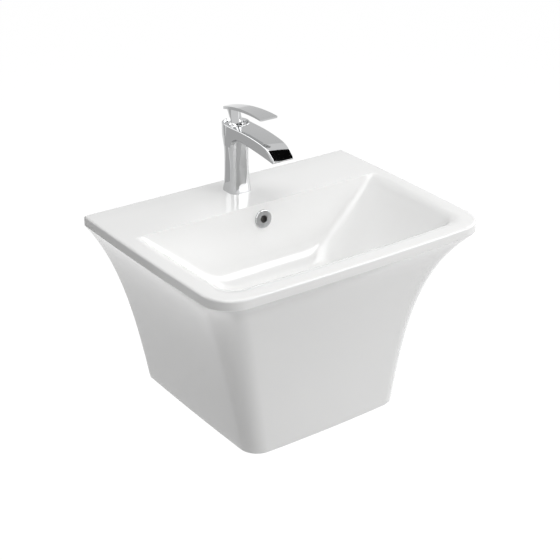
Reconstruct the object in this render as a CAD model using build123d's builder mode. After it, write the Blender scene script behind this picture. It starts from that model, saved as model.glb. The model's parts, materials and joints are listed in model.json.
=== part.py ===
from build123d import *
from math import cos, exp, radians, sin, sqrt, tan
import os

os.makedirs("parts", exist_ok=True)

# A wall-hung ceramic basin with its single-lever tap and click waste.
# X runs along the wall, +Y into it and +Z up. The origin lies on the wall, midway
# between the two bolts that carry the basin. Depths are measured down from the rim.

# Basin, outside
basin_width = 520.0
basin_reach = 392.0
basin_height = 335.0
foot_width = 314.0
foot_reach = 312.5
lip_height = 16.0
side_taper = 0.138
side_flare = 108.0
front_flare = 85.0
rim_corner = 51.0
foot_corner = 34.0
back_corner = 4.0
rim_toe_in = 10.0
foot_toe_in = 7.5
rim_bow = 5.0
foot_bow = 4.0
rim_edge_round = 3.5
foot_edge_round = 3.0

# Basin, bowl
rim_land = 20.0
tap_deck = 122.0
bowl_depth = 122.0
side_lean = 48.0
front_lean = 33.0
back_lean = 8.0
lip_round = 28.0
deck_round = 6.0
floor_round = 40.0
bowl_back_corner = 9.0
bowl_front_corner = 31.0
floor_back_corner = 24.0
floor_front_corner = 34.0
floor_fall = 4.0
floor_fall_radius = 39.0

# Basin, walls and openings
shroud_wall = 12.0
bowl_wall = 12.0
deck_wall = 14.0
back_wall = 14.0
void_top = 34.0
service_width = 230.0
service_top = 165.0
service_corner = 24.0
bolt_spacing = 280.0
bolt_hole = 16.0
bolt_drop = 90.0

# Tap body, with heights above the deck and reaches forward of the column's axis
tap_setback = 50.0
tap_hole = 35.0
column_base = 41.0
column_waist = 35.0
waist_height = 44.0
head_start = 100.0
head_diameter = 46.0
head_height = 119.0
dish_depth = 6.0
dish_flare = 2.2
spout_reach = 135.0
spout_root_width = 45.0
spout_tip_width = 38.0
spout_top = 118.0
spout_flat = 40.0
spout_shoulder_reach = 100.0
spout_shoulder_drop = 4.5
spout_tip_top = 94.0
spout_tip_bottom = 90.6
spout_arch_top = 101.5
spout_arch_reach = 40.0
spout_corner = 4.0
spout_edge_round = 1.6
waterway_width = 18.0
waterway_skin = 3.2

# Tap fixings and inlets
inlet_spacing = 15.0
inlet_thread = 9.0
inlet_thread_length = 12.0
inlet_channel = 14.0
inlet_bush_height = 40.0
bush_play = 0.05
inlet_passage = 6.0
inlet_setback = -4.0
stud_diameter = 8.0
stud_reach = 10.0
stud_in_body = 15.0
stud_below_deck = 34.0
thread_gap = 0.05
clamp_diameter = 48.0
clamp_slot = 29.0
clamp_rubber_thickness = 3.0
clamp_plate_thickness = 2.5
fixing_nut_flats = 13.0
fixing_nut_height = 6.5
base_seal_width = 3.0
base_seal_thickness = 2.0

# Cartridge
chamber_diameter = 36.4
chamber_floor = 84.0
cartridge_diameter = 34.8
port_seal_thickness = 1.0
port_diameter = 6.0
cartridge_base_thickness = 4.5
fixed_disc_thickness = 3.5
moving_disc_thickness = 3.5
fixed_disc_diameter = 30.8
moving_disc_diameter = 23.0
housing_wall = 1.8
carrier_diameter = 23.6
carrier_height = 5.0
rotor_gap = 0.5
rotor_neck_diameter = 25.2
nut_thickness = 4.0
nut_bore = 26.0
pivot_height = 106.0
lever_travel = 25.0
ball_arm = 6.5
ball_diameter = 5.2
spindle_neck = 4.4
spindle_square = 7.0
spindle_top = 25.5
pin_diameter = 3.0
pin_play = 0.12
running_gap = 0.4
dome_radius = 17.0
dome_wall = 1.8

# Handle
handle_tip_reach = 96.0
handle_back_reach = -26.0
handle_crown_reach = 25.0
handle_tip_top = 151.5
handle_crown_top = 150.5
handle_back_top = 139.5
handle_tip_thickness = 2.4
handle_crown_thickness = 5.0
handle_back_thickness = 4.5
handle_tip_width = 33.0
handle_back_width = 18.0
foot_diameter = 20.0
foot_sink = 4.0
shoulder_length = 36.0
shoulder_width = 15.0
shoulder_reach = -7.0
shoulder_height = 140.0
socket_play = 0.15
screw_diameter = 5.0
screw_length = 8.0
screw_height = 20.5
plug_diameter = 6.6
plug_length = 4.0
plug_recess = 21.0

# Aerator
aerator_reach = 117.0
aerator_diameter = 21.6
aerator_wall = 1.8
aerator_drop = 2.6
aerator_height = 8.0
insert_height = 5.5
insert_hole = 2.0
insert_pitch = 3.0
aerator_seal_thickness = 1.4

# Waste and overflow
waste_setback = 219.0
waste_hole = 45.0
flange_diameter = 64.0
flange_thickness = 3.0
flange_gap = 1.0
flange_mouth = 50.0
top_seal_thickness = 1.5
shank_diameter = 41.8
tail_diameter = 41.4
tail_bore = 34.0
tail_length = 24.0
relief_diameter = 40.2
relief_height = 2.0
throat_depth = 5.0
slot_width = 14.0
slot_height = 11.0
slot_drop = 13.0
spider_drop = 42.0
spider_height = 5.0
spider_bar = 4.0
hub_diameter = 13.0
hub_thread = 8.0
lower_seal_thickness = 5.0
waste_washer_thickness = 2.0
waste_nut_height = 9.0
waste_nut_flats = 52.0
boss_diameter = 76.0
boss_depth = 34.0
overflow_drop = 26.0
overflow_hole = 24.0
ring_diameter = 31.0
ring_thickness = 2.4
ring_mouth = 12.5
ring_sleeve = 9.0
sleeve_wall = 1.6
duct_width = 42.0
duct_gap = 14.0
duct_wall = 8.0

# Click mechanism and plug
click_diameter = 14.0
click_bore = 10.0
click_top = 15.0
click_lip = 2.0
click_floor = 3.0
stem_diameter = 6.0
piston_diameter = 9.6
piston_height = 4.0
piston_drop = 26.0
cap_diameter = 58.0
cap_edge = 1.6
cap_crown = 3.2
cap_gap = 0.6
cap_boss = 12.0
gasket_diameter = 43.0
gasket_width = 4.0
gasket_height = 2.5
spring_wire = 0.8
spring_turns = 4.0

rim_z = bolt_drop
floor_level = bowl_depth + floor_fall
flange_recess = flange_thickness + top_seal_thickness
boss_level = floor_level + flange_recess + boss_depth


def level(depth):
    """Height of a plane that lies a depth below the rim."""
    return Plane.XY.offset(rim_z - depth)


def flare(depth, length):
    """One at the underside of the lip, falling to nothing at the foot."""
    top = exp(-lip_height / length)
    end = exp(-basin_height / length)
    return (exp(-depth / length) - end) / (top - end)


def shroud_width(depth):
    taper = 2 * side_taper * (basin_height - lip_height)
    swell = basin_width - foot_width - taper
    share = (basin_height - depth) / (basin_height - lip_height)
    return foot_width + taper * share + swell * flare(depth, side_flare)


def shroud_reach(depth):
    return foot_reach + (basin_reach - foot_reach) * flare(depth, front_flare)


def blend(depth, at_rim, at_foot):
    share = (depth - lip_height) / (basin_height - lip_height)
    return at_rim + (at_foot - at_rim) * share


def plan(depth, width, back, front, rounds, toe_in, bow):
    """Plan of the basin at one level: straight at the wall, arched sides and front."""
    half = width / 2
    corner = front + bow
    middle = (back + corner) / 2
    with BuildSketch(level(depth)) as outline:
        with BuildLine():
            Line((-half, back), (half, back))
            ThreePointArc((half, back), (half - toe_in / 4, middle), (half - toe_in, corner))
            ThreePointArc((half - toe_in, corner), (0, front), (toe_in - half, corner))
            ThreePointArc((toe_in - half, corner), (toe_in / 4 - half, middle), (-half, back))
        make_face()
        room = 0.46 * (back - front)
        ends = outline.vertices().sort_by(Axis.Y)
        fillet(ends[:2], min(rounds[1], room))
        fillet(outline.vertices().sort_by(Axis.Y)[-2:], min(rounds[0], room))
    return outline.sketch


def shroud_plan(depth, wall=0.0, back=0.0):
    rounds = (back_corner, blend(depth, rim_corner, foot_corner) - wall)
    toe_in = blend(depth, rim_toe_in, foot_toe_in)
    bow = blend(depth, rim_bow, foot_bow)
    return plan(depth, shroud_width(depth) - 2 * wall, back, wall - shroud_reach(depth), rounds, toe_in, bow)


def floor_start(lean, top_round):
    """How far inside the land a leaning bowl wall reaches the level floor."""
    angle = radians(lean)
    hub = bowl_depth - floor_round
    run = (hub + floor_round * sin(angle) - top_round * (1 - cos(angle))) * tan(angle)
    return top_round * sin(angle) + run + floor_round * cos(angle)


def wall_inset(depth, lean, top_round, outside=0.0):
    """Distance of a bowl wall inside the land: rounded lip, straight lean, rounded floor."""
    angle = radians(lean)
    hub = bowl_depth - floor_round
    if depth > hub + (floor_round + outside) * sin(angle):
        rise = sqrt(max((floor_round + outside) ** 2 - (depth - hub) ** 2, 0.0))
        return floor_start(lean, top_round) - rise
    small = top_round - outside
    if small > 0 and depth < top_round - small * cos(angle):
        return sqrt(small ** 2 - (top_round - depth) ** 2)
    down = depth - top_round * (1 - cos(angle))
    return top_round * sin(angle) + down * tan(angle) - outside / cos(angle)


def bowl_plan(depth, outside=0.0):
    side = wall_inset(depth, side_lean, lip_round, outside)
    front = wall_inset(depth, front_lean, lip_round, outside)
    back = wall_inset(depth, back_lean, deck_round, outside)
    fade = max(1 - depth / bowl_depth, 0.02)
    back_round = floor_back_corner + (bowl_back_corner + outside - floor_back_corner) * fade
    front_round = floor_front_corner + (bowl_front_corner + outside - floor_front_corner) * fade
    rounds = (back_round, front_round)
    return plan(depth, basin_width - 2 * (rim_land + side), -tap_deck - back,
                rim_land + front - basin_reach, rounds, rim_toe_in * fade, rim_bow * fade)


def bowl_back(depth, outside=0.0):
    return -tap_deck - wall_inset(depth, back_lean, deck_round, outside)


# The space inside the shroud, with the bowl's own shell, the waste boss and the
# overflow duct left standing in it.
shroud_steps = [lip_height, 25, 35, 46, 58, 72, 88, 107, 130, 158, 192, 235, 285, basin_height]
void_steps = [void_top, 50, 70, 95, 130, 175, 235, basin_height + 5]
shell_steps = [bowl_wall + 1, 16, 20, 27, 60, 84, 102, 114, 123, 130, bowl_depth + bowl_wall]
bowl_steps = [0, 0.5, 1.5, 3.0, 5.5, 9.5, 50, 90, 100, 108, 114, 119, bowl_depth]

with BuildPart() as bowl_shell:
    loft([bowl_plan(depth, bowl_wall) for depth in shell_steps], ruled=True)

duct_hub = (bowl_back(bowl_depth, 0), rim_z - bowl_depth + floor_round)


def duct_body(offset, top_depth, inner_y, width):
    """A duct that runs down behind the bowl and forward under its floor."""
    hub_y = duct_hub[0]
    hub_z = duct_hub[1]
    turn = radians(back_lean)
    near = floor_round + offset[0]
    far = floor_round + offset[1]
    near_top = (bowl_back(top_depth) + offset[0], rim_z - top_depth)
    far_top = (bowl_back(top_depth) + offset[1], rim_z - top_depth)
    near_start = (hub_y + near * cos(turn), hub_z + near * sin(turn))
    far_start = (hub_y + far * cos(turn), hub_z + far * sin(turn))
    half = sqrt(0.5)
    with BuildPart() as duct:
        with BuildSketch(Plane.YZ):
            with BuildLine():
                Line(far_top, near_top)
                Line(near_top, near_start)
                ThreePointArc(near_start, (hub_y + near * half, hub_z - near * half), (hub_y, hub_z - near))
                Line((hub_y, hub_z - near), (inner_y, hub_z - near))
                Line((inner_y, hub_z - near), (inner_y, hub_z - far))
                Line((inner_y, hub_z - far), (hub_y, hub_z - far))
                ThreePointArc((hub_y, hub_z - far), (hub_y + far * half, hub_z - far * half), far_start)
                Line(far_start, far_top)
            make_face()
        extrude(amount=width / 2, both=True)
    return duct.part


duct_near = bowl_wall - 3.0
duct_far = duct_near + duct_gap
duct_top = overflow_drop - 9
overflow_duct = duct_body((duct_near, duct_far), duct_top, -waste_setback + 8, duct_width)
duct_shell = duct_body((2, duct_far + duct_wall), duct_top - duct_wall, -waste_setback,
                       duct_width + 2 * duct_wall)

with BuildPart() as service_void:
    loft([shroud_plan(depth, shroud_wall, -back_wall) for depth in void_steps], ruled=True)
    with BuildSketch(level(deck_wall)):
        with Locations((0, -(back_wall + tap_deck + 30) / 2)):
            RectangleRounded(basin_width - 70, tap_deck + 30 - back_wall, 10)
    extrude(amount=deck_wall - void_top - 10)
    add(bowl_shell.part, mode=Mode.SUBTRACT)
    add(duct_shell, mode=Mode.SUBTRACT)
    with BuildSketch(level(bowl_depth)):
        with Locations((0, -waste_setback)):
            Circle(boss_diameter / 2)
    extrude(amount=-(floor_fall + flange_recess + boss_depth), mode=Mode.SUBTRACT)
    with BuildSketch(Plane.XZ.offset(-2)):
        with Locations((0, rim_z - (service_top + basin_height + 40) / 2)):
            RectangleRounded(service_width, basin_height + 40 - service_top, service_corner)
    extrude(amount=back_wall + 8)

with BuildPart() as bowl_void:
    loft([bowl_plan(depth) for depth in bowl_steps], ruled=True)

# the floor falls gently to the waste
with BuildPart() as floor_cone:
    with BuildSketch(level(bowl_depth - 0.01)):
        with Locations((0, -waste_setback)):
            Circle(floor_fall_radius)
    with BuildSketch(level(floor_level)):
        with Locations((0, -waste_setback)):
            Circle(flange_diameter / 2 + flange_gap)
    loft()

with BuildPart() as basin:
    loft([shroud_plan(depth) for depth in shroud_steps], ruled=True)
    extrude(shroud_plan(lip_height), amount=lip_height)
    fillet(basin.faces().sort_by(Axis.Z)[-1].edges(), rim_edge_round)
    add(service_void.part, mode=Mode.SUBTRACT)
    add(bowl_void.part, mode=Mode.SUBTRACT)
    add(floor_cone.part, mode=Mode.SUBTRACT)
    # the waste's flange sits in a recess
    with BuildSketch(level(floor_level)):
        with Locations((0, -waste_setback)):
            Circle(flange_diameter / 2 + flange_gap)
    extrude(amount=-flange_recess, mode=Mode.SUBTRACT)
    with BuildSketch(level(floor_level)):
        with Locations((0, -waste_setback)):
            Circle(waste_hole / 2)
    extrude(amount=-flange_recess - boss_depth - 1, mode=Mode.SUBTRACT)
    # overflow: a round mouth in the back of the bowl that opens into the duct
    with BuildSketch(Plane.XZ.offset(-bowl_back(overflow_drop, duct_near + 3))):
        with Locations((0, rim_z - overflow_drop)):
            Circle(overflow_hole / 2)
    extrude(amount=duct_near + 18, mode=Mode.SUBTRACT)
    add(overflow_duct, mode=Mode.SUBTRACT)
    # tap hole through the deck and bolt holes through the back wall
    with BuildSketch(level(-1)):
        with Locations((0, -tap_setback)):
            Circle(tap_hole / 2)
    extrude(amount=-deck_wall - 2, mode=Mode.SUBTRACT)
    with BuildSketch(Plane.XZ.offset(-1)):
        with Locations((-bolt_spacing / 2, 0), (bolt_spacing / 2, 0)):
            Circle(bolt_hole / 2)
    extrude(amount=back_wall + 2, mode=Mode.SUBTRACT)
    fillet(basin.faces().filter_by(Plane.XY).sort_by(Axis.Z)[0].outer_wire().edges(), foot_edge_round)

basin.part.label = "basin"
export_step(basin.part, "parts/basin.step")

# Overflow ring: a face ring with a sleeve that lines the mouth of the overflow.
ring_plane = Plane(origin=(0, bowl_back(overflow_drop), rim_z - overflow_drop), x_dir=(1, 0, 0),
                   z_dir=(0, -cos(radians(back_lean)), sin(radians(back_lean))))
ring_seat = 0.3
with BuildPart() as overflow_ring:
    with BuildSketch(ring_plane.offset(ring_seat)):
        Circle(ring_diameter / 2)
    extrude(amount=ring_thickness)
    fillet(overflow_ring.faces().sort_by(Axis.Y)[0].edges(), ring_thickness * 0.7)
    with BuildSketch(ring_plane.offset(ring_seat)):
        Circle(ring_mouth / 2 + sleeve_wall)
    extrude(amount=-ring_sleeve)
    with BuildSketch(ring_plane.offset(ring_thickness + 1)):
        Circle(ring_mouth / 2)
    extrude(amount=-ring_thickness - ring_sleeve - 2, mode=Mode.SUBTRACT)
overflow_ring.part.label = "overflow_ring"
export_step(overflow_ring.part, "parts/overflow_ring.step")


# Tap. The column stands on the deck and swells into a round head.
def above(height):
    return Plane.XY.offset(rim_z + height)


def tap_point(reach, height):
    """A point of the tap's side view, reaching forward from the column's axis."""
    return (-tap_setback - reach, rim_z + height)


def column_plan(height):
    if height < waist_height:
        side = column_waist + (column_base - column_waist) * (1 - height / waist_height) ** 2
        corner = 0.32 * side
    else:
        share = min((height - waist_height) / (head_start - waist_height), 1.0)
        side = column_waist + (head_diameter - column_waist) * share ** 2
        corner = side * (0.32 + 0.176 * share)
    with BuildSketch(above(height)) as outline:
        with Locations((0, -tap_setback)):
            RectangleRounded(side, side, corner)
    return outline.sketch


shoulder = tap_point(spout_shoulder_reach, spout_top - spout_shoulder_drop)
tip = tap_point(spout_reach, spout_tip_top)
with BuildPart() as spout:
    with BuildSketch(Plane.YZ):
        with BuildLine():
            level_run = Line(tap_point(0, spout_top), tap_point(spout_flat, spout_top))
            first_bend = TangentArc(level_run @ 1, shoulder, tangent=level_run % 1)
            second_bend = TangentArc(first_bend @ 1, tip, tangent=first_bend % 1)
            lip_end = tap_point(spout_reach - 3, spout_tip_bottom)
            Line(tip, lip_end)
            under_middle = tap_point((spout_reach + spout_arch_reach) / 2,
                                     (spout_tip_bottom + spout_arch_top) / 2 + 1)
            ThreePointArc(lip_end, under_middle, tap_point(spout_arch_reach, spout_arch_top))
            ThreePointArc(tap_point(spout_arch_reach, spout_arch_top),
                          tap_point(0.6 * spout_arch_reach, spout_arch_top - 4),
                          tap_point(0.4 * spout_arch_reach, spout_arch_top - 19))
            Line(tap_point(0.4 * spout_arch_reach, spout_arch_top - 19), tap_point(0, spout_arch_top - 19))
            Line(tap_point(0, spout_arch_top - 19), tap_point(0, spout_top))
        make_face()
    extrude(amount=head_diameter, both=True)
    with BuildSketch(above(spout_arch_top - 30)) as spout_plan:
        with BuildLine():
            Polyline((-spout_root_width / 2, -tap_setback), (spout_root_width / 2, -tap_setback),
                     (spout_tip_width / 2, -tap_setback - spout_reach - 1),
                     (-spout_tip_width / 2, -tap_setback - spout_reach - 1), close=True)
        make_face()
        fillet(spout_plan.vertices().sort_by(Axis.Y)[:2], spout_corner)
    extrude(amount=60, mode=Mode.INTERSECT)
    long_edges = spout.faces().sort_by(Axis.Z)[-1].edges().filter_by(GeomType.LINE)
    fillet(long_edges.filter_by(lambda edge: abs(edge.center().X) > 5), spout_edge_round)

dish_floor = head_height - dish_depth
stud_y = -tap_setback - stud_reach
inlet_y = -tap_setback - inlet_setback
aerator_y = -tap_setback - aerator_reach
aerator_top = spout_tip_bottom + 1.6 - aerator_drop + aerator_height
# dished top of the head
with BuildPart() as dish:
    with BuildSketch(above(head_height + 0.01)):
        with Locations((0, -tap_setback)):
            Circle(chamber_diameter / 2 + dish_flare)
    with BuildSketch(above(dish_floor)):
        with Locations((0, -tap_setback)):
            Circle(chamber_diameter / 2)
    loft()

with BuildPart() as tap_body:
    loft([column_plan(height) for height in (0, 12, 28, waist_height, 60, 80, head_start)])
    extrude(column_plan(head_start), amount=head_height - head_start)
    fillet(tap_body.faces().sort_by(Axis.Z)[-1].edges(), 1.2)
    add(spout.part)
    # dished top and the chamber below it that takes the cartridge
    add(dish.part, mode=Mode.SUBTRACT)
    with BuildSketch(above(dish_floor)):
        with Locations((0, -tap_setback)):
            Circle(chamber_diameter / 2)
    extrude(amount=chamber_floor - dish_floor, mode=Mode.SUBTRACT)
    # water comes up through two threaded bushes and leaves through the spout
    inlets = Locations((-inlet_spacing / 2, inlet_y), (inlet_spacing / 2, inlet_y))
    with BuildSketch(above(0)):
        with Locations((0, inlet_y)):
            SlotCenterToCenter(inlet_spacing, inlet_channel)
    extrude(amount=inlet_bush_height + inlet_thread_length, mode=Mode.SUBTRACT)
    with BuildSketch(above(inlet_bush_height)):
        with inlets:
            Circle(inlet_passage / 2)
    extrude(amount=chamber_floor - inlet_bush_height + 1, mode=Mode.SUBTRACT)
    with BuildSketch(Plane.YZ):
        with BuildLine():
            Polyline(tap_point(chamber_diameter / 2 - 2, spout_arch_top + waterway_skin),
                     tap_point(spout_arch_reach, spout_arch_top + waterway_skin),
                     tap_point(aerator_reach + 6, aerator_top - 1),
                     tap_point(aerator_reach + 4, spout_tip_top + 6.5),
                     tap_point(spout_shoulder_reach - 6, spout_top - spout_shoulder_drop - waterway_skin),
                     tap_point(chamber_diameter / 2 - 2, spout_top - 2 * waterway_skin), close=True)
        make_face()
    extrude(amount=waterway_width / 2, both=True, mode=Mode.SUBTRACT)
    with BuildSketch(above(spout_tip_bottom - 5)):
        with Locations((0, aerator_y)):
            Circle(aerator_diameter / 2 + thread_gap)
    extrude(amount=aerator_top + aerator_seal_thickness - spout_tip_bottom + 5, mode=Mode.SUBTRACT)
    # threaded hole for the fixing stud and a groove for the seal in the foot
    with BuildSketch(above(0)):
        with Locations((0, stud_y)):
            Circle(stud_diameter / 2)
    extrude(amount=stud_in_body, mode=Mode.SUBTRACT)
    with BuildSketch(above(0)) as seal_groove:
        with Locations((0, -tap_setback)):
            Circle(column_base / 2 - 1.5)
            Circle(column_base / 2 - 1.5 - base_seal_width, mode=Mode.SUBTRACT)
    extrude(amount=base_seal_thickness, mode=Mode.SUBTRACT)
tap_body.part.label = "tap_body"
export_step(tap_body.part, "parts/tap_body.step")

def inlet_bush(side):
    """A threaded bush in one end of the slot that runs up the column."""
    with BuildPart() as bush:
        with BuildSketch(above(inlet_bush_height)):
            with Locations((side * inlet_spacing / 2, inlet_y)):
                Circle(inlet_channel / 2 - bush_play)
                Circle(inlet_thread / 2, mode=Mode.SUBTRACT)
        extrude(amount=inlet_thread_length)
    return bush.part


with BuildPart() as hot_bush:
    add(inlet_bush(-1))
hot_bush.part.label = "hot_bush"
export_step(hot_bush.part, "parts/hot_bush.step")

with BuildPart() as cold_bush:
    add(inlet_bush(1))
cold_bush.part.label = "cold_bush"
export_step(cold_bush.part, "parts/cold_bush.step")

with BuildPart() as tap_base_seal:
    extrude(seal_groove.sketch, amount=base_seal_thickness)
tap_base_seal.part.label = "tap_base_seal"
export_step(tap_base_seal.part, "parts/tap_base_seal.step")

with BuildPart() as fixing_stud:
    with BuildSketch(above(stud_in_body - 0.5)):
        with Locations((0, stud_y)):
            Circle(stud_diameter / 2 - thread_gap)
    extrude(amount=-(stud_in_body + deck_wall + stud_below_deck))
    chamfer(fixing_stud.edges(), 0.8)
fixing_stud.part.label = "fixing_stud"
export_step(fixing_stud.part, "parts/fixing_stud.step")


def horseshoe(height):
    """A round plate with a slot open to the wall for the hoses and a hole for the stud."""
    with BuildSketch(above(height)) as outline:
        with Locations((0, -tap_setback)):
            Circle(clamp_diameter / 2)
        with Locations((0, -tap_setback + clamp_diameter / 4)):
            Rectangle(clamp_slot, clamp_diameter / 2 + 2 * (stud_reach - stud_diameter),
                      mode=Mode.SUBTRACT)
        with Locations((0, stud_y)):
            Circle(stud_diameter / 2 + 0.25, mode=Mode.SUBTRACT)
    return outline.sketch


clamp_top = -deck_wall
with BuildPart() as clamp_rubber:
    extrude(horseshoe(clamp_top), amount=-clamp_rubber_thickness)
clamp_rubber.part.label = "clamp_rubber"
export_step(clamp_rubber.part, "parts/clamp_rubber.step")

with BuildPart() as clamp_plate:
    extrude(horseshoe(clamp_top - clamp_rubber_thickness), amount=-clamp_plate_thickness)
clamp_plate.part.label = "clamp_plate"
export_step(clamp_plate.part, "parts/clamp_plate.step")

nut_level = clamp_top - clamp_rubber_thickness - clamp_plate_thickness
with BuildPart() as fixing_nut:
    with BuildSketch(above(nut_level)):
        with Locations((0, stud_y)):
            RegularPolygon(fixing_nut_flats / 2, 6, major_radius=False)
            Circle(stud_diameter / 2, mode=Mode.SUBTRACT)
    extrude(amount=-fixing_nut_height)
fixing_nut.part.label = "fixing_nut"
export_step(fixing_nut.part, "parts/fixing_nut.step")

# Cartridge, from the chamber floor up. Two inlet ports behind, one outlet in front.
seal_top = chamber_floor + port_seal_thickness
base_top = seal_top + cartridge_base_thickness
fixed_top = base_top + fixed_disc_thickness
moving_top = fixed_top + moving_disc_thickness
carrier_top = moving_top + carrier_height
housing_top = dish_floor - 1
port_places = Locations((-inlet_spacing / 2, inlet_y), (inlet_spacing / 2, inlet_y))
outlet_place = Locations((0, -tap_setback - inlet_spacing / 2))

with BuildPart() as port_seal:
    with BuildSketch(above(chamber_floor)):
        with port_places:
            Circle(port_diameter / 2 + 2.5)
        with outlet_place:
            Circle(port_diameter / 2 + 2.5)
        with Locations((0, -tap_setback)):
            Circle(inlet_spacing / 2)
        with port_places:
            Circle(port_diameter / 2, mode=Mode.SUBTRACT)
        with outlet_place:
            Circle(port_diameter / 2, mode=Mode.SUBTRACT)
    extrude(amount=port_seal_thickness)
port_seal.part.label = "port_seal"
export_step(port_seal.part, "parts/port_seal.step")

with BuildPart() as cartridge_base:
    with BuildSketch(above(seal_top)):
        with Locations((0, -tap_setback)):
            Circle(cartridge_diameter / 2)
        with port_places:
            Circle(port_diameter / 2, mode=Mode.SUBTRACT)
        with outlet_place:
            Circle(port_diameter / 2, mode=Mode.SUBTRACT)
    extrude(amount=cartridge_base_thickness)
cartridge_base.part.label = "cartridge_base"
export_step(cartridge_base.part, "parts/cartridge_base.step")

with BuildPart() as fixed_disc:
    with BuildSketch(above(base_top)):
        with Locations((0, -tap_setback)):
            Circle(fixed_disc_diameter / 2)
        with port_places:
            Circle(port_diameter / 2, mode=Mode.SUBTRACT)
        with outlet_place:
            SlotCenterToCenter(port_diameter, port_diameter, mode=Mode.SUBTRACT)
    extrude(amount=fixed_disc_thickness)
fixed_disc.part.label = "fixed_disc"
export_step(fixed_disc.part, "parts/fixed_disc.step")

# the lever leans forward by half its travel when the tap is shut
half_travel = lever_travel / 2
disc_shift = ball_arm * sin(radians(half_travel))
disc_y = -tap_setback + disc_shift
with BuildPart() as moving_disc:
    with BuildSketch(above(fixed_top)):
        with Locations((0, disc_y)):
            Circle(moving_disc_diameter / 2)
    extrude(amount=moving_disc_thickness)
    with BuildSketch(above(fixed_top)):
        with Locations((0, disc_y - 2)):
            Circle(moving_disc_diameter / 2 - 5)
    extrude(amount=moving_disc_thickness / 2, mode=Mode.SUBTRACT)
moving_disc.part.label = "moving_disc"
export_step(moving_disc.part, "parts/moving_disc.step")

with BuildPart() as disc_carrier:
    with BuildSketch(above(moving_top)):
        with Locations((0, disc_y)):
            Circle(carrier_diameter / 2)
            Circle(ball_diameter / 2 + 0.15, mode=Mode.SUBTRACT)
    extrude(amount=carrier_height)
disc_carrier.part.label = "disc_carrier"
export_step(disc_carrier.part, "parts/disc_carrier.step")

housing_bore = cartridge_diameter / 2 - housing_wall
with BuildPart() as cartridge_housing:
    with BuildSketch(above(base_top)):
        with Locations((0, -tap_setback)):
            Circle(cartridge_diameter / 2)
            Circle(housing_bore, mode=Mode.SUBTRACT)
    extrude(amount=housing_top - base_top)
cartridge_housing.part.label = "cartridge_housing"
export_step(cartridge_housing.part, "parts/cartridge_housing.step")

with BuildPart() as cartridge_nut:
    with BuildSketch(above(housing_top)):
        with Locations((0, -tap_setback)):
            Circle(chamber_diameter / 2 - thread_gap)
            Circle(nut_bore / 2, mode=Mode.SUBTRACT)
    extrude(amount=dish_floor - housing_top)
    with BuildSketch(above(dish_floor)):
        with Locations((0, -tap_setback)):
            Circle(chamber_diameter / 2 - 1)
            Circle(nut_bore / 2, mode=Mode.SUBTRACT)
    extrude(amount=nut_thickness + housing_top - dish_floor)
    top_ring = cartridge_nut.faces().sort_by(Axis.Z)[-1]
    fillet(top_ring.outer_wire().edges(), 1.2)
cartridge_nut.part.label = "cartridge_nut"
export_step(cartridge_nut.part, "parts/cartridge_nut.step")

# Rotor, pivot pin and dome turn together about the column's axis.
nut_top = housing_top + nut_thickness
pivot = (0, -tap_setback, rim_z + pivot_height)
cross = Plane(origin=pivot, x_dir=(0, 1, 0), z_dir=(1, 0, 0))
slot_reach = (nut_top - pivot_height) * tan(radians(half_travel)) + spindle_square / 2 + 0.9
with BuildPart() as rotor:
    with BuildSketch(above(carrier_top + rotor_gap)):
        with Locations((0, -tap_setback)):
            Circle(housing_bore - running_gap / 2)
    extrude(amount=housing_top - rotor_gap - carrier_top - rotor_gap)
    with BuildSketch(above(carrier_top + rotor_gap)):
        with Locations((0, -tap_setback)):
            Circle(rotor_neck_diameter / 2)
    extrude(amount=nut_top - rotor_gap - carrier_top)
    with BuildSketch(above(carrier_top)):
        with Locations((0, -tap_setback)):
            Rectangle(spindle_square + 2 * running_gap, 2 * slot_reach)
    extrude(amount=nut_top - carrier_top + 1, mode=Mode.SUBTRACT)
    with BuildSketch(cross.offset(-housing_bore)):
        Circle(pin_diameter / 2)
    extrude(amount=2 * housing_bore, mode=Mode.SUBTRACT)
rotor.part.label = "rotor"
export_step(rotor.part, "parts/rotor.step")

with BuildPart() as pivot_pin:
    with BuildSketch(cross.offset(-rotor_neck_diameter / 2)):
        Circle(pin_diameter / 2)
    extrude(amount=rotor_neck_diameter)
pivot_pin.part.label = "pivot_pin"
export_step(pivot_pin.part, "parts/pivot_pin.step")

dome_seat = nut_top + rotor_gap
dome_slot_reach = dome_radius * sin(radians(half_travel)) + spindle_square / 2 + 2 * running_gap
with BuildPart() as dome:
    with Locations(pivot):
        Sphere(dome_radius)
        Sphere(dome_radius - dome_wall, mode=Mode.SUBTRACT)
    with BuildSketch(above(dome_seat)):
        with Locations((0, -tap_setback)):
            Rectangle(3 * dome_radius, 3 * dome_radius)
    extrude(amount=-3 * dome_radius, mode=Mode.SUBTRACT)
    with BuildSketch(above(dome_seat - 0.5)):
        with Locations((0, -tap_setback)):
            RectangleRounded(spindle_square + 2 * running_gap, 2 * dome_slot_reach, 1)
    extrude(amount=dome_radius, mode=Mode.SUBTRACT)
dome.part.label = "dome"
export_step(dome.part, "parts/dome.step")

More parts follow.
